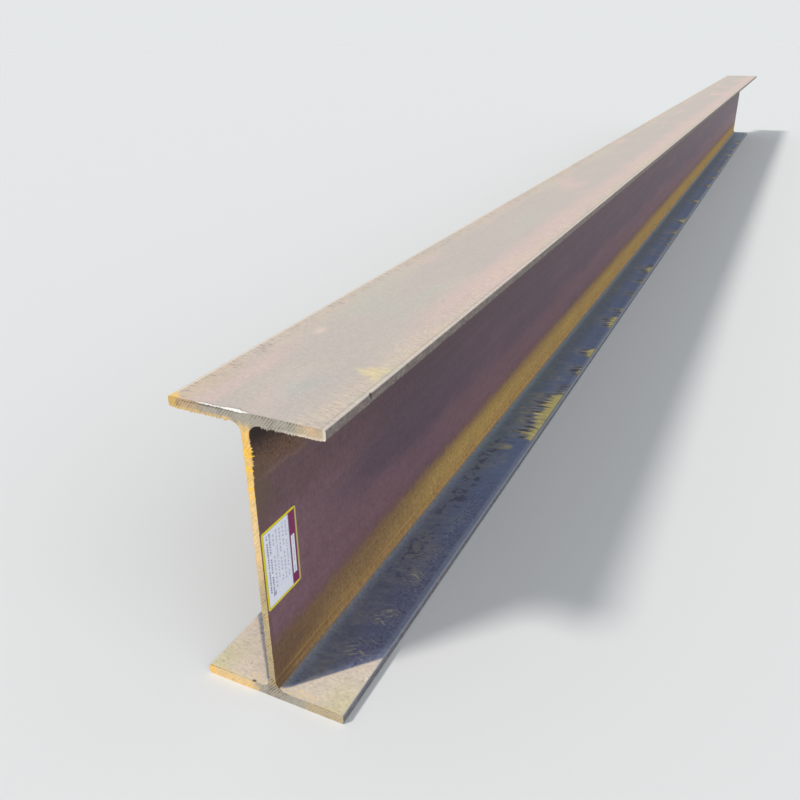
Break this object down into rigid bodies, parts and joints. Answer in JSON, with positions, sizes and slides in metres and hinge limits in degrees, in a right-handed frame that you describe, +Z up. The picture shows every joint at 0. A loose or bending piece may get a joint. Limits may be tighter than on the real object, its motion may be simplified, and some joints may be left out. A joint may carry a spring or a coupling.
{
  "type": "steel h-beam",
  "caption": "Hot-rolled steel H-beam: two parallel flanges joined by a thin web, sawn square at both ends, with a label of blank ruled fields on the web.",
  "frame": {"origin": "the centre of the underside of the lower flange, on the floor", "axes": "+Z up through the web, +Y along the beam away from the labelled end, +X across the flanges towards the labelled side of the web"},
  "size_m": [0.2, 6, 0.4],
  "materials": {
    "rolled_steel": "hot-rolled, with mill scale and yellow-brown rust",
    "label_card": "printed, satin"
  },
  "bodies": {
    "root": {"beam": "rolled_steel", "label": "label_card"}
  },
  "joints": []
}
